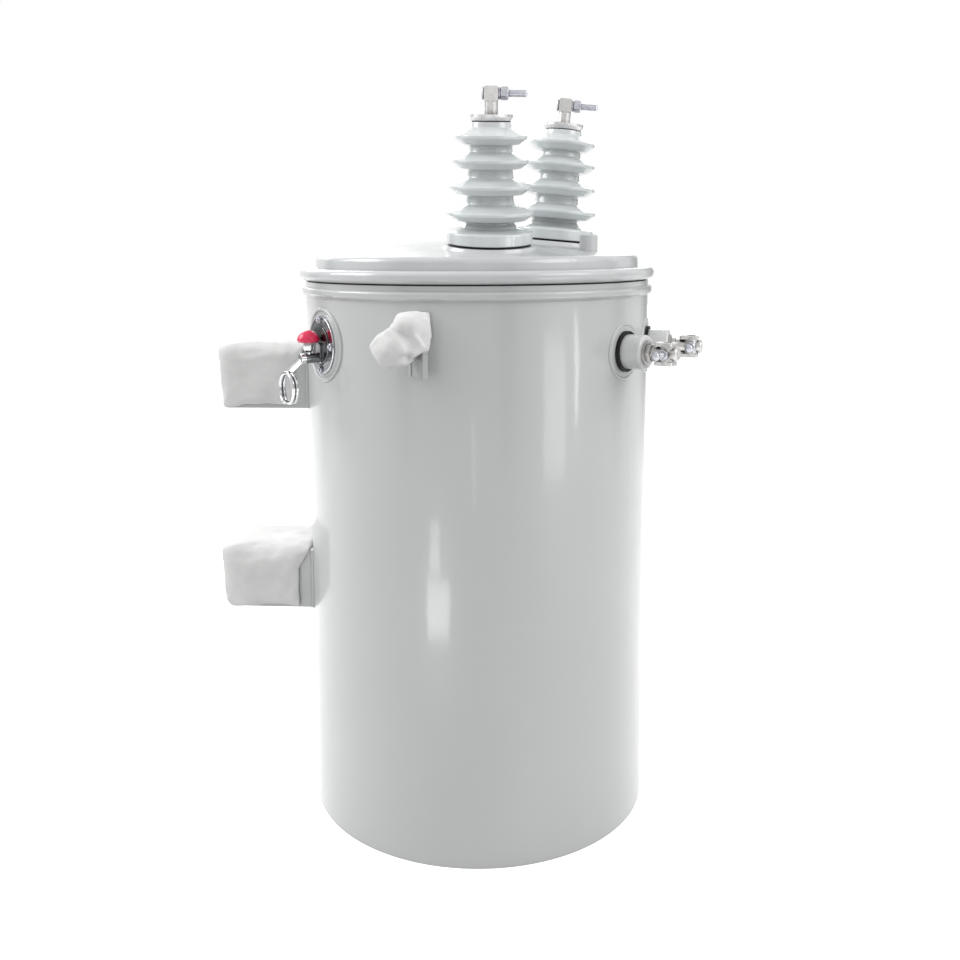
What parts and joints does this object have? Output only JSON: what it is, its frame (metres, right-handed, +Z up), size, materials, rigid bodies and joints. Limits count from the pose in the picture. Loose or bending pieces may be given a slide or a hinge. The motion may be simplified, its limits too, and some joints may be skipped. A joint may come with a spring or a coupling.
{
  "type": "pole mounted transformer",
  "caption": "Round-tank single-phase distribution transformer with ribbed porcelain bushings on its domed cover, side terminals, pole hangers and an external handle.",
  "frame": {"origin": "centre of the tank's underside", "axes": "+Z up along the tank's axis, +X away from the pole and -X towards it"},
  "size_m": [0.656, 0.6014, 0.9782],
  "materials": {
    "tank_paint": "light grey gloss enamel",
    "cover_paint": "light grey gloss enamel on the cover",
    "cover_seal": "dark nitrile rubber",
    "bushing_seal": "black nitrile rubber",
    "porcelain": "pale sky-grey glaze",
    "cap_metal": "satin, tinned",
    "terminal_metal": "tinned",
    "zinc": "bright zinc plated",
    "lv_body": "grey moulded epoxy",
    "chrome": "polished plating",
    "dark_steel": "dark, semi-polished",
    "signal_red": "crimson, glossy",
    "signal_white": "white",
    "foam": "white soft packing foam"
  },
  "bodies": {
    "transformer": {"cover": "cover_paint", "cover_gasket": "cover_seal", "filler_plug": "cover_paint", "hanger_lower": "tank_paint", "hanger_upper": "tank_paint", "hanger_wrap_lower": "foam", "hanger_wrap_upper": "foam", "hv_cap_back": "cap_metal", "hv_cap_front": "cap_metal", "hv_clamp_bolt_back": "zinc", "hv_clamp_bolt_front": "zinc", "hv_gasket_back": "bushing_seal", "hv_gasket_front": "bushing_seal", "hv_porcelain_back": "porcelain", "hv_porcelain_front": "porcelain", "hv_terminal_back": "terminal_metal", "hv_terminal_front": "terminal_metal", "lifting_lug_back": "tank_paint", "lifting_lug_front": "tank_paint", "lug_wrap_back": "foam", "lug_wrap_front": "foam", "lv_body_back": "lv_body", "lv_body_front": "lv_body", "lv_boss_back": "tank_paint", "lv_boss_front": "tank_paint", "lv_clamp_bolt_back": "zinc", "lv_clamp_bolt_front": "zinc", "lv_gasket_back": "bushing_seal", "lv_gasket_front": "bushing_seal", "lv_terminal_back": "terminal_metal", "lv_terminal_front": "terminal_metal", "signal_cap": "signal_red", "signal_cup": "chrome", "signal_neck": "signal_white", "switch_boss": "tank_paint", "switch_bracket": "chrome", "switch_flange": "chrome", "switch_flange_nuts": "chrome", "switch_hub": "dark_steel", "switch_sleeve": "dark_steel", "tank_floor": "tank_paint", "tank_rim": "tank_paint", "tank_wall": "tank_paint"},
    "handle": {"switch_handle": "chrome", "switch_ring": "chrome"}
  },
  "joints": [
    {"name": "handle_turn", "type": "hinge", "parent": "transformer", "child": "handle", "pos_m": [-0.18873, -0.1417, 0.64], "axis": [-0.7997, -0.6004, 0], "range_deg": [0, 90]}
  ]
}
